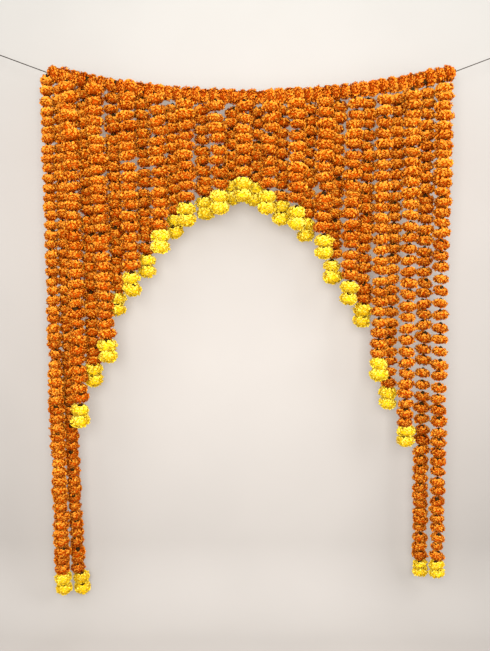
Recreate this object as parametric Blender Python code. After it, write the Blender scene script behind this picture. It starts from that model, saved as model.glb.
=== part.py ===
"""Marigold door garland: an arched curtain of threaded flower heads that hangs by its head cord.

Metres, +Z up. X runs along the garland from the left hook to the right hook and the front faces -Y.
The origin is the far end of the head cord's left loop, where it goes over its hook.

The head cord sags between its two loops and carries a row of orange flowers. Strands of orange
flowers hang from it, shortest in the middle, and each one ends in a pair of yellow flowers.
"""

import math

import bpy
import bmesh
from mathutils import Vector
from mathutils.bvhtree import BVHTree

GAP = 0.0003  # kept between solids that touch

# Head cord, from hook to hook
SPAN = 2.042
CORD_RADIUS = 0.0018
SAG_X = 1.018  # its lowest point
SAG_Z = -0.1795
SAG_CURVE = 0.150  # height gained for each square metre away from the lowest point
CORD_STEP = 0.040  # between the points along it
LOOP_LENGTH = 0.046  # of the loop at each end
LOOP_WIDTH = 0.028
LOOP_POINTS = 16
KNOT_LENGTH = 0.014  # of the knot that closes the loop
KNOT_RADIUS = 0.0042
KNOT_TAPER = 0.2  # share of its length at each end
KNOT_OVERLAP = 0.005  # of the knot over the loop's inner end

# Row of flowers threaded on the head cord
ROW_LEFT = 0.267
ROW_RIGHT = 1.828
ROW_FLOWERS = 43
ROW_BELLY = 0.030  # radius of a flower at its widest
ROW_WAIST = 0.020  # and where it meets the next one
ROW_END = 0.012
ROW_SIDES = 6

# Strands
HANG_UNDER_ROW = 0.034  # from the head cord's middle line to the first flower
HANG_CLEAR = 0.020  # the same for a strand that hangs beside the row
LAYER_TOP = 0.018  # strands hang in front of and behind the head cord by turns
LAYER_FOOT = 0.026
THREAD_RADIUS = 0.0008
THREAD_ROOM = 0.001  # from its middle line to the nearest thing it may rise past
CALYX_RADIUS = 0.008
ORANGE_PITCH_LEFT = 0.0370  # from flower to flower, tighter on the left strands
ORANGE_PITCH_RIGHT = 0.0415
ORANGE_BELLY = 0.027
ORANGE_WAIST = 0.015
ORANGE_SIDES = 6
YELLOW_PITCH = 0.043
YELLOW_BELLY = 0.030
YELLOW_WAIST = 0.020
YELLOW_END = 0.012
YELLOW_SIDES = 6

# Each strand from left to right: where it is tied along X, how far its orange flowers reach
# down, how far its foot swings aside, and how far its middle bows aside from straight.
STRANDS = (
    (0.257, 1.985, 0.036, -0.005),
    (0.304, 1.975, 0.043, -0.011),
    (0.343, 1.250, 0.028, 0.003),
    (0.391, 1.080, 0.029, 0.002),
    (0.440, 0.970, 0.046, 0.001),
    (0.503, 0.775, 0.014, 0.004),
    (0.567, 0.680, 0.016, 0.000),
    (0.620, 0.605, 0.016, 0.000),
    (0.686, 0.500, 0.010, 0.000),
    (0.737, 0.435, 0.012, 0.000),
    (0.795, 0.385, 0.005, 0.000),
    (0.851, 0.355, 0.020, 0.000),
    (0.916, 0.330, 0.014, 0.000),
    (0.974, 0.290, 0.001, 0.000),
    (1.023, 0.280, -0.006, 0.000),
    (1.079, 0.295, -0.014, 0.000),
    (1.126, 0.330, -0.014, 0.000),
    (1.167, 0.370, 0.005, 0.000),
    (1.227, 0.395, 0.003, 0.000),
    (1.281, 0.445, -0.012, 0.000),
    (1.331, 0.515, 0.007, 0.000),
    (1.391, 0.620, -0.016, 0.000),
    (1.453, 0.710, -0.014, -0.004),
    (1.508, 0.810, -0.006, -0.001),
    (1.567, 1.030, -0.003, -0.004),
    (1.624, 1.165, -0.012, -0.002),
    (1.671, 1.325, 0.003, 0.003),
    (1.732, 1.915, 0.028, 0.003),
    (1.793, 1.910, 0.031, -0.005),
)

# Flowers bunch here and there: how far apart they are down a strand, against its mean
SPACING = {
    27: (0.85, 0.92, 1.10, 1.12, 1.12, 0.85),
    28: (0.90, 1.00, 0.98, 1.02, 1.20, 1.02, 0.80, 1.00),
    29: (0.90, 0.86, 0.97, 1.15, 1.22, 1.03, 0.94, 0.97),
}
# Feet that differ: from yellow flower to yellow flower, and how far the pair sits to one side
FEET = {2: (0.043, 0.011), 27: (0.038, 0.006), 28: (0.031, 0.008), 29: (0.034, 0.0)}

ORANGE = (0.90, 0.30, 0.01)
YELLOW = (0.95, 0.75, 0.05)
JUTE = (0.12, 0.09, 0.06)


def cleared_scene():
    for thing in list(bpy.data.objects):
        bpy.data.objects.remove(thing)


def collection(name):
    made = bpy.data.collections.new(name)
    bpy.context.scene.collection.children.link(made)
    return made


def material(name, colour, roughness):
    made = bpy.data.materials.new(name)
    made.use_nodes = True
    shader = made.node_tree.nodes["Principled BSDF"]
    shader.inputs["Base Color"].default_value = (*colour, 1.0)
    shader.inputs["Roughness"].default_value = roughness
    shader.inputs["Metallic"].default_value = 0.0
    return made


def tube(name, points, radii, sides, paint, home, closed=False):
    """A round solid along a line of points, as wide at each point as radii says."""
    line = bpy.data.curves.new(name, "CURVE")
    line.dimensions = "3D"
    line.fill_mode = "FULL"
    line.bevel_depth = 1.0
    line.bevel_resolution = (sides - 4) // 2
    line.use_fill_caps = not closed
    spline = line.splines.new("POLY")
    spline.points.add(len(points) - 1)
    for knot, place, radius in zip(spline.points, points, radii):
        knot.co = (*place, 1.0)
        knot.radius = radius
    spline.use_cyclic_u = closed
    spline.use_smooth = True
    line.materials.append(paint)
    made = bpy.data.objects.new(name, line)
    home.objects.link(made)
    return made


def as_mesh(curve, home):
    """The curve's surface as a mesh object of the same name, with its caps joined on."""
    bpy.context.view_layer.update()
    evaluated = curve.evaluated_get(bpy.context.evaluated_depsgraph_get())
    surface = bpy.data.meshes.new_from_object(evaluated)
    skin = bmesh.new()
    skin.from_mesh(surface)
    bmesh.ops.remove_doubles(skin, verts=skin.verts, dist=0.00001)
    bmesh.ops.recalc_face_normals(skin, faces=skin.faces)
    skin.to_mesh(surface)
    skin.free()
    name = curve.name
    place = curve.matrix_world.copy()
    bpy.data.objects.remove(curve)
    made = bpy.data.objects.new(name, surface)
    made.matrix_world = place
    home.objects.link(made)
    return made


def combine(target, tool, operation):
    step = target.modifiers.new(tool.name, "BOOLEAN")
    step.operation = operation
    step.solver = "EXACT"
    step.object = tool
    tool.hide_render = True
    tool.display_type = "WIRE"


def sag(x):
    """The head cord's middle line where it carries flowers."""
    return Vector((x, 0.0, SAG_Z + SAG_CURVE * (x - SAG_X) ** 2))


def cord_at(x):
    """The head cord's middle line anywhere: straight from each hook to the row."""
    if x < ROW_LEFT:
        return sag(ROW_LEFT) * (x / ROW_LEFT)
    if x > ROW_RIGHT:
        hook = Vector((SPAN, 0.0, 0.0))
        return hook.lerp(sag(ROW_RIGHT), (SPAN - x) / (SPAN - ROW_RIGHT))
    return sag(x)


def evenly(start, end, step):
    """Numbers from start to end, about a step apart."""
    count = max(1, round((end - start) / step))
    return [start + (end - start) * i / count for i in range(count + 1)]


def loop(name, hook, inward, paint, home):
    """An oval loop from the hook to the knot, in the plane of the garland."""
    along = (inward - hook).normalized()
    across = Vector((-along.z, 0.0, along.x))
    middle = hook + along * LOOP_LENGTH / 2
    turns = [2 * math.pi * i / LOOP_POINTS for i in range(LOOP_POINTS)]
    points = [
        middle
        + along * math.cos(turn) * LOOP_LENGTH / 2
        + across * math.sin(turn) * LOOP_WIDTH / 2
        for turn in turns
    ]
    return as_mesh(tube(name, points, [CORD_RADIUS] * LOOP_POINTS, 8, paint, home, True), home)


def head_cord(paint, home, tools):
    """One cord: a loop and its knot at each end, and the sagging line between them."""
    ends = []
    for hook, inner in ((Vector(), sag(ROW_LEFT)), (Vector((SPAN, 0.0, 0.0)), sag(ROW_RIGHT))):
        along = (inner - hook).normalized()
        start = hook + along * (LOOP_LENGTH - KNOT_OVERLAP)
        shares = (0.0, KNOT_TAPER, 1.0 - KNOT_TAPER, 1.0)
        ends.append([start + along * KNOT_LENGTH * share for share in shares])
    left, right = ends
    free_left = [cord_at(x) for x in evenly(left[-1].x, ROW_LEFT, CORD_STEP)[1:-1]]
    held = [sag(x) for x in evenly(ROW_LEFT, ROW_RIGHT, CORD_STEP)]
    free_right = [cord_at(x) for x in evenly(ROW_RIGHT, right[-1].x, CORD_STEP)[1:-1]]
    points = [*left, *free_left, *held, *free_right, *reversed(right)]
    knot = [CORD_RADIUS, KNOT_RADIUS, KNOT_RADIUS, CORD_RADIUS]
    plain = [CORD_RADIUS] * (len(points) - 2 * len(knot))
    cord = as_mesh(tube("head_cord", points, [*knot, *plain, *knot], 8, paint, home), home)
    combine(cord, loop("left_loop", Vector(), left[-1], paint, tools), "UNION")
    combine(cord, loop("right_loop", Vector((SPAN, 0.0, 0.0)), right[-1], paint, tools), "UNION")
    return cord


def top_row(paint, home, tools):
    """The flowers on the head cord, joined in one scalloped solid with a bore for the cord."""
    edges = evenly(ROW_LEFT, ROW_RIGHT, (ROW_RIGHT - ROW_LEFT) / ROW_FLOWERS)
    points = [sag(ROW_LEFT)]
    radii = [ROW_END]
    for start, end in zip(edges, edges[1:]):
        points += [sag((start + end) / 2), sag(end)]
        radii += [ROW_BELLY, ROW_WAIST]
    radii[-1] = ROW_END
    row = as_mesh(tube("top_row", points, radii, ROW_SIDES, paint, home), home)
    wall = (CORD_RADIUS + GAP) / math.cos(math.pi / 8)
    past = CORD_STEP / 4
    route = [sag(x) for x in evenly(ROW_LEFT - past, ROW_RIGHT + past, CORD_STEP)]
    bore = as_mesh(tube("bore", route, [wall] * len(route), 8, paint, tools), tools)
    combine(row, bore, "DIFFERENCE")
    return row


def hung_from(trees, start):
    """How high a thread can rise from start before its rim meets the row or the head cord."""
    rim = [(0.0, 0.0), (1.0, 0.0), (-1.0, 0.0), (0.0, 1.0), (0.0, -1.0)]
    starts = [start + THREAD_ROOM * Vector((x, y, 0.0)) for x, y in rim]
    up = Vector((0.0, 0.0, 1.0))
    hits = [tree.ray_cast(place, up)[0] for tree in trees for place in starts]
    return min(hit.z for hit in hits if hit is not None) - GAP


def flower_edges(number, reach, count):
    """How far down a strand each of its orange flowers ends, from the top on."""
    rates = SPACING.get(number, (1.0, 1.0))
    steps = []
    for i in range(count):
        place = (i + 0.5) / count * (len(rates) - 1)
        low = int(place)
        steps.append(rates[low] + (rates[low + 1] - rates[low]) * (place - low))
    edges = [0.0]
    for step in steps:
        edges.append(edges[-1] + step * reach / sum(steps))
    return edges


def strand(number, place, trees, paints, home):
    """A strand's orange flowers and the thread above them, and its yellow pair below."""
    tied, reach, swing, bow = place
    share = (number - 1) / (len(STRANDS) - 1)
    pitch = ORANGE_PITCH_LEFT + (ORANGE_PITCH_RIGHT - ORANGE_PITCH_LEFT) * share
    edges = flower_edges(number, reach, round(reach / pitch))
    yellow_pitch, aside_foot = FEET.get(number, (YELLOW_PITCH, 0.0))
    beside = tied < ROW_LEFT
    side = 1.0 if number % 2 == 0 else -1.0
    near = 0.0 if beside else LAYER_TOP
    top = cord_at(tied).z - (HANG_CLEAR if beside else HANG_UNDER_ROW)
    length = reach + 2 * yellow_pitch

    def at(down):
        part = down / length
        depth = side * (near + (LAYER_FOOT - near) * part)
        aside = swing * part + 4 * bow * part * (1 - part)
        return Vector((tied + aside, depth, top - down))

    first = at(0.0)
    thread = first.copy()
    thread.z = hung_from(trees, first)
    points = [thread, first + Vector((0.0, 0.0, THREAD_RADIUS)), first]
    radii = [THREAD_RADIUS, THREAD_RADIUS, CALYX_RADIUS]
    for start, end in zip(edges, edges[1:]):
        points += [at((start + end) / 2), at(end)]
        radii += [ORANGE_BELLY, ORANGE_WAIST]
    tube(f"strand_{number:02d}_orange", points, radii, ORANGE_SIDES, paints["orange"], home)

    start = reach + GAP
    steps = (0.0, 0.5, 1.0, 1.5, 2.0)
    radii = (CALYX_RADIUS, YELLOW_BELLY, YELLOW_WAIST, YELLOW_BELLY, YELLOW_END)
    foot = Vector((aside_foot, 0.0, 0.0))
    points = [at(start + yellow_pitch * step) + foot for step in steps]
    tube(f"strand_{number:02d}_yellow", points, radii, YELLOW_SIDES, paints["yellow"], home)


def main():
    cleared_scene()
    home = collection("marigold_garland")
    tools = collection("cutters")
    paints = {
        "orange": material("orange_petals", ORANGE, 0.75),
        "yellow": material("yellow_petals", YELLOW, 0.75),
        "cord": material("cord", JUTE, 0.85),
    }
    cord = head_cord(paints["cord"], home, tools)
    row = top_row(paints["orange"], home, tools)
    bpy.context.view_layer.update()
    graph = bpy.context.evaluated_depsgraph_get()
    trees = [BVHTree.FromObject(thing, graph) for thing in (cord, row)]
    for number, place in enumerate(STRANDS, start=1):
        strand(number, place, trees, paints, home)


main()
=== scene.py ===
"""The looks of a marigold door garland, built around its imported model.

Each marigold head is a tight ball of curled petals with a green cup on top. The heads are threaded
on 29 hanging strands and along the head cord. Metres, +Z up, the front faces -Y, and the origin is
the far end of the head cord's left loop.
"""

import math

import bpy
import numpy as np
from bpy.props import FloatProperty, FloatVectorProperty, IntProperty, PointerProperty
from mathutils import Matrix, Vector


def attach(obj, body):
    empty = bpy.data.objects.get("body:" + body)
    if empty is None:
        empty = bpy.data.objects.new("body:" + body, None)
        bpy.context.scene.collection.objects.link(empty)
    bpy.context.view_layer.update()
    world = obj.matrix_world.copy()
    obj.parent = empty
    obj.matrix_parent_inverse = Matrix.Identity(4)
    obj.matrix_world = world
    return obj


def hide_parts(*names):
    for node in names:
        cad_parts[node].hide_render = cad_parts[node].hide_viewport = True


bl_info = {
    "name": "Marigold Door Garland",
    "version": (1, 0, 0),
    "blender": (4, 5, 0),
    "location": "3D View > Sidebar > Garland",
    "description": "Builds a curtain of threaded marigold heads that hangs by its head cord",
    "category": "Add Mesh",
}

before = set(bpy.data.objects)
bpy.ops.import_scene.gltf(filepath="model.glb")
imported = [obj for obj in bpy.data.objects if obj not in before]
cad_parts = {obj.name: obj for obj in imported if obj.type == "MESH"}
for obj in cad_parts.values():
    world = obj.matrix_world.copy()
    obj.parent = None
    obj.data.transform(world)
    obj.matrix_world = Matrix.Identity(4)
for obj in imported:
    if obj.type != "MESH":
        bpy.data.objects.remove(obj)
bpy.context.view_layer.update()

# The head cord and the row of flowers on it, as the model has them
SPAN = 2.042  # from hook to hook
SAG_X = 1.018  # where it hangs lowest
SAG_Z = -0.1795
SAG_CURVE = 0.150
ROW_LEFT = 0.267
ROW_RIGHT = 1.828
ROW_FLOWERS = 43
LOOP_LENGTH = 0.046
LOOP_WIDTH = 0.028
CORD_RADIUS = 0.0018
KNOT_FROM = LOOP_LENGTH - 0.005  # the knot hides the loop's foot
KNOT_LENGTH = 0.014
KNOT_WRAPS = 4

# The strands, as the model has them. Each one's flowers start a little below the cord, and
# neighbours hang by turns to the front and to the back.
HANG_UNDER_ROW = 0.034
HANG_CLEAR = 0.020
LAYER_TOP = 0.018
LAYER_FOOT = 0.026
ORANGE_PITCH_LEFT = 0.0370
ORANGE_PITCH_RIGHT = 0.0415
YELLOW_PITCH = 0.043
# Each strand's place on the cord, the length of its orange part, its foot's swing aside, and its bow
STRANDS = (
    (0.257, 1.985, 0.036, -0.005),
    (0.304, 1.975, 0.043, -0.011),
    (0.343, 1.250, 0.028, 0.003),
    (0.391, 1.080, 0.029, 0.002),
    (0.440, 0.970, 0.046, 0.001),
    (0.503, 0.775, 0.014, 0.004),
    (0.567, 0.680, 0.016, 0.000),
    (0.620, 0.605, 0.016, 0.000),
    (0.686, 0.500, 0.010, 0.000),
    (0.737, 0.435, 0.012, 0.000),
    (0.795, 0.385, 0.005, 0.000),
    (0.851, 0.355, 0.020, 0.000),
    (0.916, 0.330, 0.014, 0.000),
    (0.974, 0.290, 0.001, 0.000),
    (1.023, 0.280, -0.006, 0.000),
    (1.079, 0.295, -0.014, 0.000),
    (1.126, 0.330, -0.014, 0.000),
    (1.167, 0.370, 0.005, 0.000),
    (1.227, 0.395, 0.003, 0.000),
    (1.281, 0.445, -0.012, 0.000),
    (1.331, 0.515, 0.007, 0.000),
    (1.391, 0.620, -0.016, 0.000),
    (1.453, 0.710, -0.014, -0.004),
    (1.508, 0.810, -0.006, -0.001),
    (1.567, 1.030, -0.003, -0.004),
    (1.624, 1.165, -0.012, -0.002),
    (1.671, 1.325, 0.003, 0.003),
    (1.732, 1.915, 0.028, 0.003),
    (1.793, 1.910, 0.031, -0.005),
)
NUMBERS = range(1, len(STRANDS) + 1)

# Flowers bunch here and there: how far apart they are down a strand, against its mean
SPACING = {
    27: (0.85, 0.92, 1.10, 1.12, 1.12, 0.85),
    28: (0.90, 1.00, 0.98, 1.02, 1.20, 1.02, 0.80, 1.00),
    29: (0.90, 0.86, 0.97, 1.15, 1.22, 1.03, 0.94, 0.97),
}
# Feet that differ: from yellow flower to yellow flower, and how far the pair sits to one side
FEET = {2: (0.043, 0.011), 27: (0.038, 0.006), 28: (0.031, 0.008), 29: (0.034, 0.0)}

# Strands whose heads sit loosely, and the first of them on the right side and of the right foot
LOOSE_STRANDS = (1, 2, 25, 26, 27, 28, 29)
LOOSE_ON_RIGHT = 25
LONG_ON_RIGHT = 28
LONG_STRANDS = (1, 2, 28, 29)
# Where, down a strand, cups lean more to the front: from, to, and by how much at most
FACING = {2: (1.30, 1.68, 0.6), 29: (0.60, 0.75, 0.5)}
# How far below its place the top head of a strand hangs, in pitches
TOP_DROP = {23: 0.05, 24: 0.05, 25: 0.12, 26: 0.12, 27: 0.18, 28: 0.18, 29: 0.0}

PIECE_MAP = "OFBake"
TONES = 16  # bands of a petal piece's map, from the deepest to the brightest petals
DRAWS = ("orange_places", "yellow_places", "row_places", "orange_petals", "yellow_petals", "row_petals")


# Where things hang


def sag(x):
    """The head cord's curve under the row of flowers."""
    return np.array((x, 0.0, SAG_Z + SAG_CURVE * (x - SAG_X) ** 2))


def cord_at(x):
    """The head cord at x, which runs straight from the row's ends to the hooks."""
    if x < ROW_LEFT:
        return sag(ROW_LEFT) * (x / ROW_LEFT)
    if x > ROW_RIGHT:
        share = (SPAN - x) / (SPAN - ROW_RIGHT)
        hook = np.array((SPAN, 0.0, 0.0))
        return hook + (sag(ROW_RIGHT) - hook) * share
    return sag(x)


class Strand:
    """Where one strand hangs, and how its flowers are spaced."""

    def __init__(self, number):
        self.tied, self.reach, self.swing, self.bow = STRANDS[number - 1]
        share = (number - 1) / (len(STRANDS) - 1)
        pitch = ORANGE_PITCH_LEFT + (ORANGE_PITCH_RIGHT - ORANGE_PITCH_LEFT) * share
        self.count = round(self.reach / pitch)
        self.pitch = self.reach / self.count
        rates = SPACING.get(number, (1.0, 1.0))
        steps = np.interp((np.arange(self.count) + 0.5) / self.count, np.linspace(0, 1, len(rates)), rates)
        self.edges = np.concatenate([[0.0], np.cumsum(steps)]) * self.reach / steps.sum()
        self.yellow_pitch, self.foot_aside = FEET.get(number, (YELLOW_PITCH, 0.0))
        self.beside = self.tied < ROW_LEFT
        self.side = 1.0 if number % 2 == 0 else -1.0
        self.near = 0.0 if self.beside else LAYER_TOP
        hang = HANG_CLEAR if self.beside else HANG_UNDER_ROW
        self.top = cord_at(self.tied)[2] - hang
        self.length = self.reach + 2 * self.yellow_pitch

    def at(self, down):
        """Places on its line, so far down from its top."""
        part = np.asarray(down, float) / self.length
        x = self.tied + self.swing * part + 4 * self.bow * part * (1 - part)
        y = self.side * (self.near + (LAYER_FOOT - self.near) * part)
        return np.stack([x, y, self.top - np.asarray(down, float)], -1)


# Meshes


def new_piece(name, points, faces, places, paint):
    """An object from arrays of points, four-sided faces and the points' places on its map, if any."""
    mesh = bpy.data.meshes.new(name)
    mesh.vertices.add(len(points))
    mesh.vertices.foreach_set("co", points.astype(np.float32).ravel())
    mesh.loops.add(faces.size)
    mesh.loops.foreach_set("vertex_index", faces.astype(np.int32).ravel())
    mesh.polygons.add(len(faces))
    mesh.polygons.foreach_set("loop_start", np.arange(0, faces.size, faces.shape[1], dtype=np.int32))
    mesh.update(calc_edges=True)
    mesh.validate()
    if places is not None:
        layer = mesh.uv_layers.new(name=PIECE_MAP)
        layer.uv.foreach_set("vector", places[faces.ravel()].astype(np.float32).ravel())
    mesh.shade_smooth()
    mesh.materials.append(paint)
    piece = bpy.data.objects.new(name, mesh)
    bpy.context.scene.collection.objects.link(piece)
    return piece


def grid_faces(rows, columns, closed=False):
    """The faces of a grid of points, rows by columns, whose rows may close on themselves."""
    across = columns if closed else columns - 1
    r, c = np.meshgrid(np.arange(rows - 1), np.arange(across), indexing="ij")
    step = (c + 1) % columns
    corners = [r * columns + c, r * columns + step, (r + 1) * columns + step, (r + 1) * columns + c]
    return np.stack(corners, -1).reshape(-1, 4)


def repeated(faces, points_each, copies):
    """The same faces on each copy of a set of points."""
    return (faces[None] + (np.arange(copies) * points_each)[:, None, None]).reshape(-1, 4)


def merged(*parts):
    """Arrays of points, faces and map places joined into one set."""
    points, faces, places, start = [], [], [], 0
    for some_points, some_faces, some_places in parts:
        points.append(some_points)
        faces.append(some_faces + start)
        places.append(some_places)
        start += len(some_points)
    return np.concatenate(points), np.concatenate(faces), np.concatenate(places)


ODD_WAY = np.array((0.31, -0.83, 0.46))  # lies along nothing on the garland, so it crosses every axis


def unit(vectors):
    return vectors / np.linalg.norm(vectors, axis=-1, keepdims=True)


def turned_to(axes, rng, tilt):
    """Rotation matrices whose third column is near each axis, tilted at random by about tilt radians."""
    axes = unit(axes + rng.normal(0, tilt, axes.shape))
    aside = unit(np.cross(axes, ODD_WAY))
    return np.stack([np.cross(aside, axes), aside, axes], -1)


# Marigold heads

GOLDEN_TURN = math.pi * (3 - math.sqrt(5))
PETAL_COLUMNS = 3
PETAL_ROWS = 3
PETAL_ALONG = (0.02, 0.55, 0.98)  # the map's place of each row, from the petal's foot to its tip
PETAL_CURL = (0.0, 0.5, 1.0)  # how much of the frill and the cupping each row has
PETAL_BAND = 0.84  # how much of its band of the map a petal is wide
CORE_SIDES = 9
CORE_RINGS = 6
CUP_SIDES = 8
CUP_RIBS = 0.09
CUP_RADIUS = 0.0094
CUP_PROUD = 0.0090  # how far a cup stands out of its head
HALF_DEPTH = 0.061  # no head reaches further to the front or back, petal tips apart
POINT = 0.0001  # the radius that closes a turned shape


def flower_of(width, height, petal_count, **more):
    """One kind of head: a plain orange one, with what differs from it in more."""
    flower = {
        "width": width,
        "height": height,
        "petals": petal_count,
        # The dome: how far round from its pole the petals sit, and how round its outline is
        "shoulder": math.radians(151),
        "square": 1.0,
        # A petal's foot and middle, as shares of the way from the root to the dome, and the root's
        # height, as a share of the dome's
        "root": 0.15,
        "low": 0.80,
        "hip": 0.96,
        # A petal's width, and the shares of it at the foot and at the tip
        "petal_width": 0.0124,
        "waist": 0.60,
        "tip": 0.66,
        # How far a tip slides back towards the cup, at the pole and at the shoulder
        "slide_inner": 0.0048,
        "slide_outer": 0.0080,
        "slide_spread": 0.22,
        # How unevenly petals turn, sit and stand out
        "twist": 0.50,
        "scatter": 0.06,
        "ragged": 0.0015,
        # The tip: its wave, its hollow and its rounded corners
        "frill": 0.0014,
        "cup": 0.0016,
        "rounded": 0.0020,
        # The dark core, painted shade for the crevices between petals, as a share of the dome, and its
        # place along the petals' colours
        "core": 0.84,
        "core_shade": 0.28,
        # How much tones differ, and how much deeper painted shade makes them at the pole, under it and by
        # the cup
        "petal_tone": 0.09,
        "painted_pole_shade": 0.62,
        "painted_under_shade": 0.20,
        "painted_cup_shade": 0.45,
        "cup_shade_width": 0.10,
    }
    flower.update(more)
    return flower


def spread(flower, part):
    """Angles from the pole opposite the cup that share out the head's surface evenly."""
    angle = np.linspace(0, flower["shoulder"], 200)
    slant = np.hypot(flower["width"] * np.cos(angle), flower["height"] * np.sin(angle))
    area = np.cumsum(np.sin(angle) * slant)
    return np.interp(part, area / area[-1], angle)


def petal_seats(rng, heads, part, flower):
    """Where each petal meets the dome, the root that it grows from, and its ways out, back and aside."""
    shape = (heads, len(part))
    polar = spread(flower, part) + rng.normal(0, flower["scatter"], shape)
    turn = np.arange(len(part)) * GOLDEN_TURN + rng.uniform(0, 2 * math.pi, (heads, 1))
    turn = turn + rng.normal(0, flower["scatter"] * 1.5, shape)
    wide, tall, square = flower["width"] / 2, flower["height"] / 2, flower["square"]
    sin_p, cos_p, sin_t, cos_t = np.sin(polar), np.cos(polar), np.sin(turn), np.cos(turn)
    bulge, rise = np.abs(sin_p) ** square, np.sign(cos_p) * np.abs(cos_p) ** square
    surface = np.stack([wide * bulge * cos_t, wide * bulge * sin_t, -tall * rise], -1)
    root = np.array((0.0, 0.0, flower["root"] * tall))
    out = unit(surface - root)
    back = np.stack([wide * cos_p * cos_t, wide * cos_p * sin_t, tall * sin_p], -1)
    back = unit(back - out * (back * out).sum(-1, keepdims=True))
    aside = np.cross(out, back)
    uneven = flower["twist"] + 0.5 * (1 - part[:, None]) ** 2  # the most at the pole
    twist = rng.normal(0, 1.0, (*shape, 1)) * uneven
    turned_aside = aside * np.cos(twist) + back * np.sin(twist)
    turned_back = back * np.cos(twist) - aside * np.sin(twist)
    return surface, root, out, turned_back, turned_aside


def petals(rng, heads):
    """Points, faces and map places of the petals of many heads.

    A head's own axis points to its green cup. The petals stand on the head from the pole opposite
    the cup, in a spiral that climbs to the shoulder. Each one's frilled tip slides back towards the
    cup, the outer ones the most.
    """
    flower = heads["flower"]
    number, count = len(heads["middles"]), flower["petals"]
    part = (np.arange(count) + 0.5) / count  # from the pole to the shoulder
    surface, root, out, back, aside = petal_seats(rng, number, part, flower)
    shape = (number, count, 1)
    size = rng.normal(1.0, 0.10, shape) * (0.86 + 0.18 * part[:, None] ** 0.5)  # outer ones are larger
    slide = flower["slide_inner"] + (flower["slide_outer"] - flower["slide_inner"]) * part[:, None]
    slide = slide * rng.normal(1.0, flower["slide_spread"], shape)
    proud = rng.normal(0, flower["ragged"], shape)
    foot = root + (surface - root) * flower["low"]
    middle = root + (surface - root) * flower["hip"] + out * proud + back * slide * 0.35
    tip = surface + out * proud + back * slide
    rows = (
        (foot, flower["waist"], out),
        (middle, 1.0, unit(out * 0.8 + back * 0.6)),
        (tip, flower["tip"], unit(tip - middle)),
    )

    across = np.linspace(-1, 1, PETAL_COLUMNS)
    frill = flower["frill"] * np.sin(1.5 * math.pi * across + rng.uniform(0, 2 * math.pi, shape))
    hollow = rng.normal(flower["cup"], flower["cup"] * 0.6, shape) * across**2
    notch = rng.normal(0, 0.0006, (number, count, PETAL_COLUMNS)) - flower["rounded"] * across**2
    points = np.empty((number, count, PETAL_ROWS, PETAL_COLUMNS, 3))
    for row, (line, share, way) in enumerate(rows):
        half = flower["petal_width"] / 2 * share * size
        up = np.cross(aside, way)
        lift = (frill + hollow) * PETAL_CURL[row]
        line = line[..., None, :] + aside[..., None, :] * (half * across)[..., None]
        points[:, :, row] = line - up[..., None, :] * lift[..., None]
    points[:, :, -1] += rows[-1][2][..., None, :] * notch[..., None]
    points *= heads["sizes"][:, None, None, None, None]
    points = np.einsum("hij,hprcj->hprci", heads["turns"], points) + heads["middles"][:, None, None, None]

    tone = petal_tones(rng, part, heads["tones"], flower)
    places = np.empty((number, count, PETAL_ROWS, PETAL_COLUMNS, 2))
    places[..., 0] = np.array(PETAL_ALONG)[:, None]
    places[..., 1] = band_place(tone)[..., None, None] + PETAL_BAND / 2 * across / TONES
    faces = repeated(grid_faces(PETAL_ROWS, PETAL_COLUMNS), PETAL_ROWS * PETAL_COLUMNS, number * count)
    return points.reshape(-1, 3), faces, places.reshape(-1, 2)


def petal_tones(rng, part, tones, flower):
    """Each petal's tone: its head's own, made deeper by painted shade round the pole, below it and next to
    the cup.
    """
    tone = tones[:, None] + rng.normal(0, flower["petal_tone"], (len(tones), len(part)))
    tone = tone - flower["painted_pole_shade"] * np.exp(-((part / 0.16) ** 2))
    tone = tone - flower["painted_under_shade"] * np.exp(-((part / 0.45) ** 2))
    return tone - flower["painted_cup_shade"] * np.exp(-(((1 - part) / flower["cup_shade_width"]) ** 2))


def band_place(tones):
    """The middle of the map's band for each tone from 0 to 1."""
    return (np.clip(np.floor(tones * TONES), 0, TONES - 1) + 0.5) / TONES


def turned_shapes(heads, profile, sides, ribs=0.0, along=(0.0, 1.0), tones=0.5):
    """Points, faces and map places of one turned profile set on each head's axis."""
    turn = np.arange(sides) * 2 * math.pi / sides
    rib = 1 + ribs * np.cos(turn * sides / 2)
    radius, height = np.array(profile).T[..., None]
    ring = np.broadcast_arrays(radius * rib * np.cos(turn), radius * rib * np.sin(turn), height)
    ring = np.stack(ring, -1)
    points = np.einsum("hij,rsj->hrsi", heads["turns"], ring) * heads["sizes"][:, None, None, None]
    points = points + heads["middles"][:, None, None]
    places = np.empty((*points.shape[:3], 2))
    places[..., 0] = np.linspace(*along, len(radius))[:, None]
    places[..., 1] = band_place(np.broadcast_to(tones, len(points)))[:, None, None]
    faces = repeated(grid_faces(len(radius), sides, True), len(radius) * sides, len(points))
    return points.reshape(-1, 3), faces, places.reshape(-1, 2)


def heads_piece(name, rng, heads, paint):
    """One piece with all the petals of the heads, round a dark core in each that is painted shade for the
    crevices between them.
    """
    flower = heads["flower"]
    wide, tall = flower["core"] * flower["width"] / 2, flower["core"] * flower["height"] / 2
    angles = np.linspace(0, math.pi, CORE_RINGS)
    profile = [(max(wide * math.sin(angle), POINT), -tall * math.cos(angle)) for angle in angles]
    shade = flower["core_shade"]
    parts = merged(
        petals(rng, heads),
        turned_shapes(heads, profile, CORE_SIDES, along=(shade, shade), tones=heads["tones"]),
    )
    return new_piece(name, *parts, paint)


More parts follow.
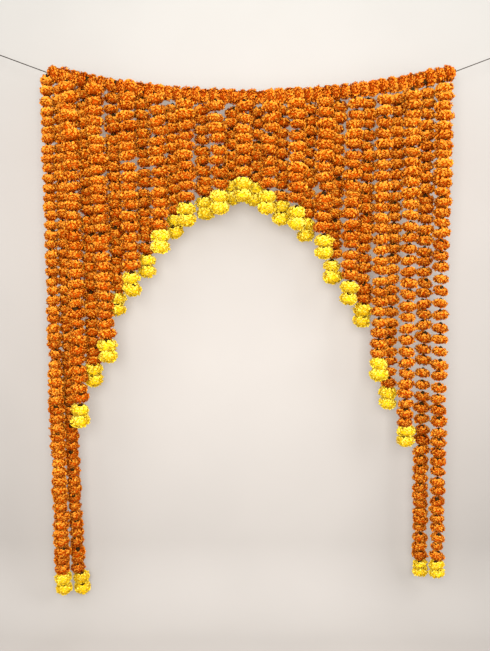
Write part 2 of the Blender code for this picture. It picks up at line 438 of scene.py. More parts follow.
def cup_shapes(heads):
    """Points, faces and map places of the green cups, each out of the top of its head."""
    mouth = heads["flower"]["height"] / 2
    profile = [
        (CUP_RADIUS, mouth * 0.60),
        (CUP_RADIUS * 1.04, mouth * 0.92),
        (CUP_RADIUS * 0.74, mouth + CUP_PROUD * 0.55),
        (CUP_RADIUS * 0.36, mouth + CUP_PROUD),
        (POINT, mouth + CUP_PROUD * 1.04),
    ]
    return turned_shapes(heads, profile, CUP_SIDES, ribs=CUP_RIBS)


def threaded(heads):
    """The points a thread takes through heads, in at each cup's tip and out at the far pole."""
    mouth = heads["flower"]["height"] / 2
    axes = heads["turns"][:, :, 2] * heads["sizes"][:, None]
    steps = np.array([mouth + CUP_PROUD, 0.0, -mouth * 0.85])
    return (heads["middles"][:, None] + axes[:, None] * steps[:, None]).reshape(-1, 3)


# Cord and thread

CORD_SIDES = 8
CORD_STEP = 0.002
THREAD_SIDES = 6
TIE_LENGTH = 0.0070
END_KNOT_LENGTH = 0.0044
# Turns of the fibre along each piece
MIDDLE_TURNS = 90.0
END_TURNS = 24.0
KNOT_TURNS = 8.0
THREAD_TURNS = 160.0


def tube(points, radii, sides):
    """Points, faces and map places of a round tube along a line of points, closed at its ends."""
    points = np.asarray(points, float)
    points = np.concatenate([points[:1], points, points[-1:]])
    radii = np.broadcast_to(radii, len(points) - 2)
    radii = np.concatenate([[POINT / 2], radii, [POINT / 2]])
    lengths = np.linalg.norm(np.diff(points, axis=0), axis=1)
    run = np.concatenate([[0.0], np.cumsum(lengths)])
    along = unit(np.gradient(points[1:-1], axis=0))
    along = np.concatenate([along[:1], along, along[-1:]])
    side = unit(np.cross(along[0], ODD_WAY))
    first = np.empty_like(along)
    for row, way in enumerate(along):
        side = unit(side - way * (side @ way))
        first[row] = side
    second = np.cross(along, first)
    turn = np.arange(sides + 1) * 2 * math.pi / sides
    rings = np.cos(turn)[:, None] * first[:, None] + np.sin(turn)[:, None] * second[:, None]
    surface = points[:, None] + radii[:, None, None] * rings
    places = np.empty((len(points), sides + 1, 2))
    places[..., 0] = (run / run[-1])[:, None]
    places[..., 1] = np.arange(sides + 1) / sides
    return surface.reshape(-1, 3), grid_faces(len(points), sides + 1), places.reshape(-1, 2)


def bead(middle, radius, half_length, axis):
    """A small knot: a fat short tube with tapered ends."""
    steps = np.array([-1.0, -0.7, 0.0, 0.7, 1.0])
    swell = np.array([0.35, 0.85, 1.0, 0.85, 0.35])
    return tube(middle + axis * (steps * half_length)[:, None], radius * swell, CORD_SIDES)


def rounded_line(points, step):
    """The line through points, smoothed and cut into steps of about that length."""
    points = np.asarray(points, float)
    ends = np.concatenate([[2 * points[0] - points[1]], points, [2 * points[-1] - points[-2]]])
    line = []
    for a, b, c, d in zip(ends, ends[1:], ends[2:], ends[3:]):
        count = max(1, round(float(np.linalg.norm(c - b)) / step))
        t = (np.arange(count) / count)[:, None]
        square, cube = (2 * a - 5 * b + 4 * c - d) * t**2, (3 * b - a - 3 * c + d) * t**3
        line.append(0.5 * (2 * b + (c - a) * t + square + cube))
    line.append(points[-1:])
    return np.concatenate(line)


# Materials


def link(tree, start, end):
    tree.links.new(start, end)


def sum_node(tree, operation, first, second):
    """A Math node on two values, each a socket or a number."""
    node = tree.nodes.new("ShaderNodeMath")
    node.operation = operation
    for socket, value in zip(node.inputs, (first, second)):
        if isinstance(value, (int, float)):
            socket.default_value = value
        else:
            link(tree, value, socket)
    return node.outputs[0]


def ramp_node(tree, factor, stops):
    node = tree.nodes.new("ShaderNodeValToRGB")
    ramp = node.color_ramp
    while len(ramp.elements) < len(stops):
        ramp.elements.new(0.5)
    for element, (place, colour) in zip(ramp.elements, stops):
        element.position = place
        element.color = (*colour, 1.0)
    link(tree, factor, node.inputs[0])
    return node.outputs[0]


def mix_node(tree, factor, first, second, blend="MIX"):
    node = tree.nodes.new("ShaderNodeMix")
    node.data_type = "RGBA"
    node.blend_type = blend
    for socket, value in zip((node.inputs[0], node.inputs[6], node.inputs[7]), (factor, first, second)):
        if isinstance(value, (int, float)):
            socket.default_value = value
        elif isinstance(value, tuple):
            socket.default_value = (*value, 1.0)
        else:
            link(tree, value, socket)
    return node.outputs[2]


def noise_node(tree, vector, scale):
    node = tree.nodes.new("ShaderNodeTexNoise")
    node.inputs["Scale"].default_value = scale
    node.inputs["Detail"].default_value = 2.0
    link(tree, vector, node.inputs["Vector"])
    return node.outputs[0]


def new_paint(name, roughness, specular):
    """A material, its tree of nodes and its shader."""
    paint = bpy.data.materials.new(name)
    paint.use_nodes = True
    shader = paint.node_tree.nodes["Principled BSDF"]
    shader.inputs["Roughness"].default_value = roughness
    shader.inputs["Specular IOR Level"].default_value = specular
    return paint, paint.node_tree, shader


def map_place(tree):
    """The piece's own map: its place, and how far along and across that is."""
    place = tree.nodes.new("ShaderNodeUVMap")
    place.uv_map = PIECE_MAP
    parts = tree.nodes.new("ShaderNodeSeparateXYZ")
    link(tree, place.outputs[0], parts.inputs[0])
    return place.outputs[0], parts.outputs[0], parts.outputs[1]


def bumped(tree, shader, height, strength, distance):
    bump = tree.nodes.new("ShaderNodeBump")
    bump.inputs["Strength"].default_value = strength
    bump.inputs["Distance"].default_value = distance
    link(tree, height, bump.inputs["Height"])
    link(tree, bump.outputs[0], shader.inputs["Normal"])


def greys(*stops):
    """Stops of a colour ramp in plain greys."""
    return [(place, (value,) * 3) for place, value in stops]


def petal_paint(name, deep, bright, crease_shade):
    """Petals whose colour runs from a dark base to the frilled tip, with fine veins along them. The dark
    base is partly painted shade down in the crevices between petals.

    deep and bright hold the colours of the darkest and the brightest tones, base first; the darkest tones
    also show the painted shade round the pole, under it and by the cup. The last argument holds what the
    curled edges and the middle fold multiply them by, which is painted shade in those creases.
    """
    paint, tree, shader = new_paint(name, 0.62, 0.02)
    _, along, side = map_place(tree)
    band = sum_node(tree, "MULTIPLY", side, float(TONES))
    tone = sum_node(tree, "DIVIDE", sum_node(tree, "FLOOR", band, 0.0), TONES - 1.0)
    across = sum_node(tree, "FRACT", band, 0.0)
    # Darker towards the petal's base: partly its own colour, partly painted shade down in the crevices
    # between petals.
    stops = (0.0, 0.38, 0.62, 1.0)
    low = ramp_node(tree, along, list(zip(stops, deep)))
    high = ramp_node(tree, along, list(zip(stops, bright)))
    colour = mix_node(tree, tone, low, high)

    vein_place = tree.nodes.new("ShaderNodeCombineXYZ")
    for socket, part, stretch in zip(vein_place.inputs, (along, across, tone), (2.0, 9.0, 31.0)):
        link(tree, sum_node(tree, "MULTIPLY", part, stretch), socket)
    vein = noise_node(tree, vein_place.outputs[0], 1.6)
    shade = ramp_node(tree, vein, [(0.3, (0.84, 0.70, 0.62)), (0.62, (1.0, 1.0, 1.0))])
    colour = mix_node(tree, 1.0, colour, shade, "MULTIPLY")
    # Painted shade: each petal's curled edges and its middle fold are darkened as if they lay in shade.
    edge, fold = crease_shade
    plain = (1.0, 1.0, 1.0)
    stops = [(0.08, edge), (0.27, plain), (0.5, fold), (0.73, plain), (0.92, edge)]
    colour = mix_node(tree, 1.0, colour, ramp_node(tree, across, stops), "MULTIPLY")
    link(tree, colour, shader.inputs["Base Color"])
    rough = sum_node(tree, "ADD", sum_node(tree, "MULTIPLY", vein, 0.18), 0.52)
    link(tree, rough, shader.inputs["Roughness"])
    bumped(tree, shader, vein, 0.35, 0.0006)
    return paint


def cup_paint():
    """Dull green-brown cups, dark enough to be partly painted shade for the band between heads, darker at
    the neck, with a fine speckle.
    """
    paint, tree, shader = new_paint("calyx_looks", 0.7, 0.05)
    place, along, _ = map_place(tree)
    stops = [(0.0, (0.052, 0.024, 0.004)), (0.4, (0.028, 0.012, 0.002)), (1.0, (0.010, 0.005, 0.001))]
    colour = ramp_node(tree, along, stops)
    speckle = noise_node(tree, place, 24.0)
    shade = ramp_node(tree, speckle, [(0.35, (0.6, 0.6, 0.5)), (0.65, (1.2, 1.25, 1.0))])
    link(tree, mix_node(tree, 1.0, colour, shade, "MULTIPLY"), shader.inputs["Base Color"])
    return paint


def twist_paint(name, dark, light, turns):
    """Twisted fibre: three slanting strands of a dark and a light shade along the piece's own map; the
    dark in the grooves between them is painted shade.
    """
    paint, tree, shader = new_paint(name, 0.85, 0.2)
    _, along, across = map_place(tree)
    slant = sum_node(tree, "ADD", sum_node(tree, "MULTIPLY", along, turns), across)
    wave = sum_node(tree, "SINE", sum_node(tree, "MULTIPLY", slant, 2 * math.pi * 3), 0.0)
    height = sum_node(tree, "ADD", sum_node(tree, "MULTIPLY", wave, 0.5), 0.5)
    link(tree, ramp_node(tree, height, [(0.0, dark), (1.0, light)]), shader.inputs["Base Color"])
    bumped(tree, shader, height, 0.6, 0.0004)
    return paint


def paint_of(slot):
    """The material of a slot's pieces. The first call makes them all."""
    made = bpy.data.materials
    if "orange_petals_looks" not in made:
        # Deep colours, bright colours, then the edge and fold darkening. The dark bases are partly painted
        # shade, and the edge and fold darkening is painted shade.
        petal_paint(
            "orange_petals_looks",
            [(0.05, 0.001, 0.0001), (0.23, 0.013, 0.0001), (0.56, 0.092, 0.0006), (0.71, 0.215, 0.008)],
            [(0.12, 0.003, 0.0001), (0.60, 0.115, 0.0008), (0.79, 0.335, 0.012), (0.77, 0.44, 0.080)],
            [(0.56, 0.30, 0.19), (0.90, 0.74, 0.64)],
        )
        petal_paint(
            "yellow_petals_looks",
            [(0.26, 0.13, 0.001), (0.56, 0.38, 0.004), (0.78, 0.62, 0.010), (0.88, 0.74, 0.04)],
            [(0.60, 0.38, 0.004), (0.86, 0.70, 0.014), (0.90, 0.79, 0.06), (0.90, 0.82, 0.20)],
            [(0.66, 0.52, 0.34), (0.94, 0.88, 0.78)],
        )
        cup_paint()
        twist_paint("thread_looks", (0.10, 0.085, 0.05), (0.28, 0.25, 0.17), THREAD_TURNS)
    return made[f"{slot}_looks"]


# What a user may change


class GarlandFlowers(bpy.types.PropertyGroup):
    """The marigold heads."""

    seed: IntProperty(name="Seed", description="Starts the random draws", default=7)
    orange_width: FloatProperty(
        name="Orange Width",
        description="Across an orange head",
        default=0.060,
        unit="LENGTH",
    )
    orange_height: FloatProperty(
        name="Orange Height",
        description="Of an orange head, along its thread",
        default=0.0385,
        unit="LENGTH",
    )
    yellow_width: FloatProperty(
        name="Yellow Width",
        description="Across a yellow head",
        default=0.069,
        unit="LENGTH",
    )
    yellow_height: FloatProperty(
        name="Yellow Height",
        description="Of a yellow head, along its thread",
        default=0.046,
        unit="LENGTH",
    )
    tilt: FloatProperty(
        name="Tilt",
        description="How unevenly the heads sit on their threads",
        default=0.14,
        subtype="ANGLE",
    )
    nod: FloatProperty(
        name="Nod",
        description="How far the cups lean to the front",
        default=0.16,
        subtype="ANGLE",
    )
    petals: IntProperty(
        name="Petals",
        description="Petals on each head",
        default=144,
        min=12,
        max=150,
    )


class GarlandCord(bpy.types.PropertyGroup):
    """The head cord and the threads."""

    cord_radius: FloatProperty(
        name="Cord Radius",
        description="Of the head cord",
        default=CORD_RADIUS,
        unit="LENGTH",
    )
    thread_radius: FloatProperty(
        name="Thread Radius",
        description="Of each strand's thread",
        default=0.0008,
        unit="LENGTH",
    )
    # Painted shade: the dark between the twisted strands stands for the shade in their grooves.
    dark: FloatVectorProperty(
        name="Cord Dark",
        description="Between the head cord's twisted strands",
        default=(0.009, 0.007, 0.005),
        subtype="COLOR",
    )
    light: FloatVectorProperty(
        name="Cord Light",
        description="On the head cord's twisted strands",
        default=(0.040, 0.032, 0.023),
        subtype="COLOR",
    )


class GarlandStage(bpy.types.PropertyGroup):
    """The backdrop, the light and the camera."""

    backdrop: FloatVectorProperty(
        name="Backdrop",
        description="Colour of the floor and the backdrop",
        default=(0.236, 0.231, 0.231),
        subtype="COLOR",
    )
    key_power: FloatProperty(
        name="Key Power",
        description="Of the large soft lamp in front",
        default=560.0,
        unit="POWER",
    )
    side_power: FloatProperty(
        name="Side Power",
        description="Of the soft lamp at the right, twice the left one's",
        default=130.0,
        unit="POWER",
    )
    back_power: FloatProperty(
        name="Back Power",
        description="Of the soft lamp behind",
        default=240.0,
        unit="POWER",
    )
    ambient: FloatProperty(
        name="Ambient",
        description="Strength of the light from all round",
        default=1.05,
    )
    # Painted light: the backdrop glows by its own emission; no lamp lights it from behind.
    glow: FloatProperty(
        name="Glow",
        description="How brightly the backdrop is lit from behind",
        default=0.29,
    )


# The stage

CAMERA_LENS = 45.9
CAMERA_SENSOR = 36.0
CAMERA_PLACE = (1.03, -3.3, -0.707)
CAMERA_PITCH = math.radians(6.3)  # down
CAMERA_ROLL = math.radians(0.38)
# Each lamp's width and height, colour, place, and the place it faces
LAMPS = {
    "key": ((4.4, 3.8), (1.0, 0.97, 0.92), (0.8, -5.5, 0.2), (1.03, 0.0, -1.2)),
    "right": ((1.8, 2.6), (1.0, 0.98, 0.94), (4.2, -1.5, 0.0), (1.5, 0.0, -1.0)),
    "left": ((1.8, 2.6), (1.0, 0.98, 0.94), (-2.1, -1.5, 0.0), (0.5, 0.0, -1.0)),
    "back": ((4.0, 3.0), (1.0, 0.98, 0.95), (1.0, 5.0, 0.6), (1.03, 0.0, -0.9)),
}
SWEEP_MIDDLE = 1.03
SWEEP_HALF_WIDTH = 9.0
SWEEP_FLOOR = -2.30
SWEEP_FRONT = -7.0
SWEEP_WALL = 0.10
SWEEP_TOP = 4.0
SWEEP_BEND = 0.30
SWEEP_STEPS = 12
# Painted light: the backdrop is palest round this place and darkens away from it.
FADE_FROM = (1.05, SWEEP_WALL, -0.65)  # the backdrop is palest here
FADE_REACH = 1.7
FADE_HEIGHT = 2.8
WARM_LIGHT = (1.0, 0.85, 0.71)  # the colour of the backdrop's own glow, painted light rather than a lamp behind it


class GARLAND_OT_stage(bpy.types.Operator):
    """Make the camera, the soft light and the pale floor that curves up into a backdrop"""

    bl_idname = "garland.stage"
    bl_label = "Stage"

    def execute(self, context):
        settings = context.scene.garland_stage
        self.camera(context)
        sweep = self.sweep(settings)
        sweep.visible_shadow = False  # so the lamp behind reaches the garland
        self.room(context, settings.ambient)
        side_power = settings.side_power
        powers = (settings.key_power, side_power, side_power / 2, settings.back_power)
        for (name, lamp), power in zip(LAMPS.items(), powers):
            self.lamp(context, name, power, *lamp)
        context.scene.view_settings.view_transform = "Standard"
        return {"FINISHED"}

    def camera(self, context):
        camera = bpy.data.objects.new("camera", bpy.data.cameras.new("camera"))
        camera.data.lens = CAMERA_LENS
        camera.data.sensor_width = CAMERA_SENSOR
        forward = Vector((0.0, math.cos(CAMERA_PITCH), -math.sin(CAMERA_PITCH)))
        level = Vector((1.0, 0.0, 0.0))
        right = math.cos(CAMERA_ROLL) * level + math.sin(CAMERA_ROLL) * level.cross(forward)
        up = right.cross(forward)
        camera.rotation_mode = "QUATERNION"
        camera.rotation_quaternion = Matrix((right, up, -forward)).transposed().to_quaternion()
        camera.location = CAMERA_PLACE
        context.scene.collection.objects.link(camera)
        context.scene.camera = camera

    def room(self, context, ambient):
        """Soft light from all round, stronger from above."""
        world = bpy.data.worlds.new("room")
        world.use_nodes = True
        tree = world.node_tree
        sky = tree.nodes["Background"]
        place = tree.nodes.new("ShaderNodeTexCoord")
        height = tree.nodes.new("ShaderNodeSeparateXYZ")
        link(tree, place.outputs["Generated"], height.inputs[0])
        share = sum_node(tree, "ADD", sum_node(tree, "MULTIPLY", height.outputs[2], 0.5), 0.5)
        stops = [(0.25, (0.46, 0.44, 0.42)), (0.5, (0.70, 0.69, 0.67)), (0.85, (1.2, 1.18, 1.15))]
        link(tree, ramp_node(tree, share, stops), sky.inputs["Color"])
        sky.inputs["Strength"].default_value = ambient
        context.scene.world = world

    def lamp(self, context, name, power, size, colour, place, aim):
        light = bpy.data.lights.new(name, "AREA")
        light.shape = "RECTANGLE"
        light.size, light.size_y = size
        light.energy = power
        light.color = colour
        lamp = bpy.data.objects.new(name, light)
        lamp.location = place
        lamp.rotation_mode = "QUATERNION"
        lamp.rotation_quaternion = (Vector(aim) - lamp.location).to_track_quat("-Z", "Y")
        context.scene.collection.objects.link(lamp)

    def sweep(self, settings):
        """A floor that bends up into the wall behind, in one sheet."""
        line = [(SWEEP_FRONT, SWEEP_FLOOR)]
        for step in range(SWEEP_STEPS + 1):
            turn = math.pi / 2 * step / SWEEP_STEPS
            depth = SWEEP_WALL - SWEEP_BEND + SWEEP_BEND * math.sin(turn)
            line.append((depth, SWEEP_FLOOR + SWEEP_BEND - SWEEP_BEND * math.cos(turn)))
        line.append((SWEEP_WALL, SWEEP_TOP))
        ends = (SWEEP_MIDDLE - SWEEP_HALF_WIDTH, SWEEP_MIDDLE + SWEEP_HALF_WIDTH)
        points = np.array([(x, y, z) for y, z in line for x in ends])
        return new_piece("backdrop", points, grid_faces(len(line), 2), None, self.sweep_paint(settings))

    def sweep_paint(self, settings):
        """Pale cloth with painted light: it darkens away from its middle and glows by its own emission. It
        is clear from behind.
        """
        paint, tree, shader = new_paint("backdrop", 0.9, 0.1)
        place = tree.nodes.new("ShaderNodeTexCoord").outputs["Object"]
        fade = mix_node(tree, 1.0, self.fade(tree, place), self.cloud(tree, place), "MULTIPLY")
        for colour, socket in ((tuple(settings.backdrop), "Base Color"), (WARM_LIGHT, "Emission Color")):
            link(tree, mix_node(tree, 1.0, colour, fade, "MULTIPLY"), shader.inputs[socket])
        shader.inputs["Emission Strength"].default_value = settings.glow
        sheet = tree.nodes.new("ShaderNodeNewGeometry")
        clear = tree.nodes.new("ShaderNodeBsdfTransparent")
        mix = tree.nodes.new("ShaderNodeMixShader")
        link(tree, sheet.outputs["Backfacing"], mix.inputs[0])
        link(tree, shader.outputs[0], mix.inputs[1])
        link(tree, clear.outputs[0], mix.inputs[2])
        link(tree, mix.outputs[0], tree.nodes["Material Output"].inputs["Surface"])
        return paint

    def fade(self, tree, place):
        """Painted light: paler round the middle, changing with height, and darker at the sides of the
        floor.
        """
        away = tree.nodes.new("ShaderNodeVectorMath")
        away.operation = "DISTANCE"
        away.inputs[1].default_value = FADE_FROM
        link(tree, place, away.inputs[0])
        share = sum_node(tree, "DIVIDE", away.outputs["Value"], FADE_REACH)
        fade = ramp_node(tree, share, greys((0.35, 1.0), (0.66, 0.88), (1.0, 0.74)))
        parts = tree.nodes.new("ShaderNodeSeparateXYZ")
        link(tree, place, parts.inputs[0])
        height = sum_node(tree, "SUBTRACT", parts.outputs[2], SWEEP_FLOOR)
        height = sum_node(tree, "DIVIDE", height, FADE_HEIGHT)
        # Painted light by height: brighter near the floor, dimmer up the wall, and brighter and cooler
        # near the top.
        tall = [*greys((0.0, 1.10), (0.1, 1.03), (0.68, 0.97)), (0.92, (1.03, 1.07, 1.08))]
        fade = mix_node(tree, 1.0, fade, ramp_node(tree, height, tall), "MULTIPLY")
        # Painted light: towards the floor the sides darken.
        low = ramp_node(tree, height, greys((0.0, 1.0), (0.12, 0.8), (0.5, 0.45), (0.9, 0.0)))
        beside = sum_node(tree, "DIVIDE", parts.outputs[0], SPAN)
        sides = ramp_node(tree, beside, greys((0.0, 0.93), (0.3, 1.0), (0.7, 1.0), (1.0, 0.86)))
        return mix_node(tree, low, fade, mix_node(tree, 1.0, fade, sides, "MULTIPLY"))

    def cloud(self, tree, place):
        return ramp_node(tree, noise_node(tree, place, 2.5), greys((0.3, 0.965), (0.7, 1.0)))


# How the flowers hang

# Orange heads, by how their strand hangs: width, height and nod against the settings, how unevenly
# they lie down and across the strand, how much their sizes differ, and their tone
HANGING = {
    "loose_left": (1.0, 0.95, 1.5, 0.0022, 0.0015, 0.05, 0.88),
    "loose_right": (1.07, 0.86, 0.7, 0.0022, 0.0015, 0.05, 0.88),
    "crowded": (1.20, 0.99, 1.0, 0.0030, 0.0034, 0.07, 1.00),
}
BESIDE_WIDTH = 0.87  # of the strand beside the row, which has only its own room
CROWDED_LIFT = 0.45  # of a pitch, between neighbours, which then lie half a head apart
# By how much heads grow, and from where to where: down a strand beside the row, a loose strand and
# a long one on the right, and along the head cord
BESIDE_GROWS = (0.16, 0.9, 1.3)
LOOSE_GROWS = (0.12, 0.65, 0.35)
LONG_GROWS = (-0.06, 1.4, 1.7)
ROW_GROWS = (0.14, 0.42, 0.32)
# How crowded heads, yellow ones and those on the head cord differ from the plain one, in painted shade as
# well
CROWDED = {"square": 0.93, "painted_under_shade": 0.48, "painted_cup_shade": 0.5, "cup_shade_width": 0.16}
YELLOW = {"painted_pole_shade": 0.25, "painted_under_shade": 0.10, "painted_cup_shade": 0.25, "petal_tone": 0.08}
ON_CORD = {"painted_pole_shade": 0.0, "painted_under_shade": 0.2}


def draws(kind, number=0):
    """A fresh run of random draws for one kind of thing on one strand."""
    seed = bpy.context.scene.garland_flowers.seed
    return np.random.default_rng([seed, DRAWS.index(kind) + 1, number])


def kept_in(middles, reach):
    """Slides the heads in the depth until none reaches past HALF_DEPTH."""
    room = HALF_DEPTH - reach
    middles[:, 1] = np.clip(middles[:, 1], -room, room)


def grown(place, more, start, end):
    """What grows from nothing at start to more at end."""
    return more * np.clip((place - start) / (end - start), 0, 1)


def leaning(nods):
    """Axes that lean to the front by the nod angles."""
    return np.stack([np.zeros(len(nods)), -np.sin(nods), np.cos(nods)], -1)


def orange_heads(number):
    """Where a strand's orange heads sit, and what they are like."""
    settings = bpy.context.scene.garland_flowers
    strand = Strand(number)
    rng = draws("orange_places", number)
    crowded = number not in LOOSE_STRANDS
    side = "loose_right" if number >= LOOSE_ON_RIGHT else "loose_left"
    wide, tall, lean, uneven, aside, size_spread, tone = HANGING["crowded" if crowded else side]
    width = settings.orange_width * (BESIDE_WIDTH if strand.beside else wide)
    height = settings.orange_height * tall
    top, foot = 0.0, 0.0
    if crowded:
        lift = -CROWDED_LIFT * (number % 2)
        top = lift + rng.uniform(-0.12, 0.12)
        foot = lift / 2 + rng.uniform(-0.1, 0.02)
    shift = np.linspace(TOP_DROP.get(number, top), foot, strand.count) * strand.pitch
    down = (strand.edges[1:] + strand.edges[:-1]) / 2 + shift + rng.normal(0, uneven, strand.count)
    nods = np.full(strand.count, settings.nod * lean)
    if number in FACING:
        start, end, more = FACING[number]
        nods += more * rng.uniform(0.1, 1.0, strand.count) * ((down > start) & (down < end))
    middles = strand.at(down)
    middles[:, 0] += rng.normal(0, aside, strand.count)
    middles[:, 1] += rng.normal(0, 0.0020, strand.count)
    sizes = rng.normal(1.0, size_spread, strand.count)
    if strand.beside:
        sizes += grown(down, *BESIDE_GROWS)
    elif not crowded:
        sizes += grown(down, *LOOSE_GROWS)
    if number >= LONG_ON_RIGHT:
        sizes += grown(down, *LONG_GROWS)
    kept_in(middles, sizes * width / 2)
    return {
        "flower": flower_of(width, height, settings.petals, **(CROWDED if crowded else {})),
        "middles": middles,
        "turns": turned_to(leaning(nods), rng, settings.tilt),
        "tones": np.clip(rng.normal(tone, 0.10, strand.count), 0.55, 1.2),
        "sizes": sizes,
    }


def yellow_heads(number):
    """Where the pair of yellow heads at a strand's foot sits, and what they are like."""
    settings = bpy.context.scene.garland_flowers
    strand = Strand(number)
    rng = draws("yellow_places", number)
    width = settings.yellow_width
    height = settings.yellow_height * strand.yellow_pitch / YELLOW_PITCH
    middles = strand.at(strand.reach + strand.yellow_pitch * np.array((0.5, 1.5)))
    middles[:, 0] += strand.foot_aside
    middles[:, :2] += rng.normal(0, 0.0015, (2, 2))
    sizes = rng.normal(0.94 if number in LONG_STRANDS else 1.06, 0.04, 2)
    kept_in(middles, sizes * width / 2)
    return {
        "flower": flower_of(width, height, settings.petals, **YELLOW),
        "middles": middles,
        "turns": turned_to(leaning(np.full(2, settings.nod)), rng, settings.tilt * 0.8),
        "tones": np.clip(rng.normal(0.88, 0.08, 2), 0.5, 1),
        "sizes": sizes,
    }


def row_heads():
    """Where the heads on the head cord sit, and what they are like."""
    settings = bpy.context.scene.garland_flowers
    rng = draws("row_places")
    width, height = settings.orange_width * 1.05, settings.orange_height * 1.20
    edges = np.linspace(ROW_LEFT, ROW_RIGHT, ROW_FLOWERS + 1)
    x = (edges[1:] + edges[:-1]) / 2
    along_cord = np.stack([np.ones_like(x), np.zeros_like(x), 2 * SAG_CURVE * (x - SAG_X)], -1)
    return {
        "flower": flower_of(width, height, settings.petals, **ON_CORD),
        "middles": np.stack([sag(place) for place in x]),
        "turns": turned_to(unit(along_cord), rng, 0.30),
        "tones": np.clip(rng.normal(0.58, 0.09, len(x)), 0.35, 1),
        "sizes": rng.normal(1.0, 0.04, len(x)) + grown(x, *ROW_GROWS),
    }


# The garland's pieces


def finished(piece, slot, *nodes):
    """Every piece rides the root and stands for some of the model's nodes; slot is not used."""
    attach(piece, "root")
    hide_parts(*nodes)
    return piece


def thread_heads(colour, heads_of):
    """One piece for each strand with its heads of one colour."""
    slot = f"{colour}_petals"
    for number in NUMBERS:
        node = f"strand_{number:02d}_{colour}"
        piece = heads_piece(f"{node}_heads", draws(slot, number), heads_of(number), paint_of(slot))
        finished(piece, slot, node)


class GARLAND_OT_orange_flowers(bpy.types.Operator):
    """Thread orange heads on each strand"""

    bl_idname = "garland.orange_flowers"
    bl_label = "Orange Flowers"

    def execute(self, context):
        thread_heads("orange", orange_heads)
        return {"FINISHED"}


class GARLAND_OT_yellow_flowers(bpy.types.Operator):
    """Thread the pair of yellow heads at each strand's foot"""

    bl_idname = "garland.yellow_flowers"
    bl_label = "Yellow Flowers"

    def execute(self, context):
        thread_heads("yellow", yellow_heads)
        return {"FINISHED"}


class GARLAND_OT_top_row(bpy.types.Operator):
    """Thread orange heads side by side on the head cord"""

    bl_idname = "garland.top_row"
    bl_label = "Top Row"

    def execute(self, context):
        piece = heads_piece("top_row_heads", draws("row_petals"), row_heads(), paint_of("orange_petals"))
        finished(piece, "orange_petals", "top_row")
        return {"FINISHED"}


class GARLAND_OT_cups(bpy.types.Operator):
    """Set a green cup on top of each head"""

    bl_idname = "garland.cups"
    bl_label = "Green Cups"

    def execute(self, context):
        row_cups = new_piece("top_row_cups", *cup_shapes(row_heads()), paint_of("calyx"))
        finished(row_cups, "calyx", "top_row")
        for number in NUMBERS:
            parts = merged(cup_shapes(orange_heads(number)), cup_shapes(yellow_heads(number)))
            name = f"strand_{number:02d}"
            piece = new_piece(f"{name}_cups", *parts, paint_of("calyx"))
            finished(piece, "calyx", f"{name}_orange", f"{name}_yellow")
        return {"FINISHED"}


class GARLAND_OT_threads(bpy.types.Operator):
    """Run each strand's thread from the head cord down through its heads"""

    bl_idname = "garland.threads"
    bl_label = "Threads"

    def execute(self, context):
        settings = context.scene.garland_cord
        radius = settings.thread_radius
        for number in NUMBERS:
            strand = Strand(number)
            orange = threaded(orange_heads(number))
            yellow = threaded(yellow_heads(number))
            tie = cord_at(strand.tied)
            points = np.concatenate([[tie], orange, yellow])
            slope = unit(cord_at(strand.tied + 0.01) - tie)
            parts = merged(
                tube(points, radius, THREAD_SIDES),
                bead(tie, settings.cord_radius + 2 * radius, TIE_LENGTH / 2, slope),
                bead(points[-1], radius * 2.4, END_KNOT_LENGTH / 2, np.array((0.0, 0.0, 1.0))),
            )
            name = f"strand_{number:02d}"
            piece = new_piece(f"{name}_thread", *parts, paint_of("thread"))
            finished(piece, "thread", f"{name}_orange", f"{name}_yellow")
        return {"FINISHED"}


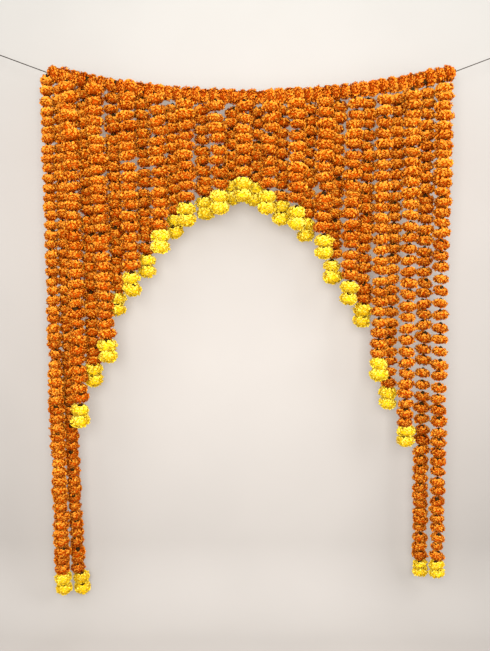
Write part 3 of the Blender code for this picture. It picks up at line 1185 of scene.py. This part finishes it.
class GARLAND_OT_head_cord(bpy.types.Operator):
    """Stretch the head cord, with a loop and a wrapped knot at each end"""

    bl_idname = "garland.head_cord"
    bl_label = "Head Cord"

    def execute(self, context):
        settings = context.scene.garland_cord
        radius = settings.cord_radius
        row_line = [sag(x) for x in np.arange(ROW_LEFT, ROW_RIGHT + 0.001, 0.01)]
        self.cord_piece("middle", tube(row_line, radius, CORD_SIDES), settings, MIDDLE_TURNS)
        left_hook, right_hook = np.zeros(3), np.array((SPAN, 0.0, 0.0))
        ends = (("left", left_hook, sag(ROW_LEFT)), ("right", right_hook, sag(ROW_RIGHT)))
        for side, hook, leaves in ends:
            way = unit(leaves - hook)
            line = self.free_line(hook, leaves, way, radius)
            cord = self.cord_piece(side, tube(line, radius, CORD_SIDES), settings, END_TURNS)
            knot = self.cord_piece(f"{side}_knot", self.knot(hook, way, radius), settings, KNOT_TURNS)
        return {"FINISHED"}

    def cord_piece(self, name, parts, settings, turns):
        paint = twist_paint(f"cord_{name}", tuple(settings.dark), tuple(settings.light), turns)
        return finished(new_piece(f"head_cord_{name}", *parts, paint), "cord", "head_cord")

    def across(self, way):
        return np.array((-way[2], 0.0, way[0]))

    def free_line(self, hook, leaves, way, radius):
        """From the row out to the knot, round the loop and back into the knot."""
        aside = self.across(way)
        wide = LOOP_WIDTH / 2
        legs = radius * 1.06  # half the gap between the two runs of cord in the knot
        near, deep = KNOT_FROM + 0.003, KNOT_FROM + 0.008  # two places in the knot
        reach = float(np.linalg.norm(leaves - hook))
        out = [(reach - d, 0.0) for d in np.linspace(0, reach - KNOT_FROM - KNOT_LENGTH, 8)]
        flare = [(deep, -legs * 0.8), (near, -legs)]
        opening = math.asin(wide / (KNOT_FROM - wide))
        turns = np.linspace(-math.pi / 2 + opening, -1.5 * math.pi - opening, 13)
        bow = [(wide - wide * math.cos(turn), wide * math.sin(turn)) for turn in turns]
        back = [(near, legs), (deep, legs)]
        points = [hook + way * along + aside * off for along, off in [*out, *flare, *bow, *back]]
        return rounded_line(points, CORD_STEP)

    def knot(self, hook, way, radius):
        """The cord's own end wrapped round it and the loop's foot."""
        aside, front = self.across(way), np.array((0.0, 1.0, 0.0))
        turn = np.linspace(0, 2 * math.pi * KNOT_WRAPS, 12 * KNOT_WRAPS + 1)
        along = KNOT_FROM + KNOT_LENGTH * turn / turn[-1]
        round_it = np.cos(turn)[:, None] * aside + np.sin(turn)[:, None] * front
        line = hook + way * along[:, None] + round_it * radius * 2.5
        return tube(line, radius * 0.9, CORD_SIDES)


class GARLAND_PT_panel(bpy.types.Panel):
    """Lists the garland's pieces"""

    bl_idname = "GARLAND_PT_panel"
    bl_label = "Garland"
    bl_space_type = "VIEW_3D"
    bl_region_type = "UI"
    bl_category = "Garland"

    def draw(self, context):
        for name in STEPS:
            self.layout.operator(f"garland.{name}")


STEPS = ("stage", "head_cord", "threads", "top_row", "orange_flowers", "yellow_flowers", "cups")
CLASSES = (
    GarlandFlowers,
    GarlandCord,
    GarlandStage,
    GARLAND_OT_stage,
    GARLAND_OT_head_cord,
    GARLAND_OT_threads,
    GARLAND_OT_top_row,
    GARLAND_OT_orange_flowers,
    GARLAND_OT_yellow_flowers,
    GARLAND_OT_cups,
    GARLAND_PT_panel,
)


def register():
    for entry in CLASSES:
        bpy.utils.register_class(entry)
    bpy.types.Scene.garland_flowers = PointerProperty(type=GarlandFlowers)
    bpy.types.Scene.garland_cord = PointerProperty(type=GarlandCord)
    bpy.types.Scene.garland_stage = PointerProperty(type=GarlandStage)


def unregister():
    del bpy.types.Scene.garland_flowers
    del bpy.types.Scene.garland_cord
    del bpy.types.Scene.garland_stage
    for entry in reversed(CLASSES):
        bpy.utils.unregister_class(entry)


def main():
    register()
    for name in STEPS:
        getattr(bpy.ops.garland, name)()


if __name__ == "__main__":
    main()
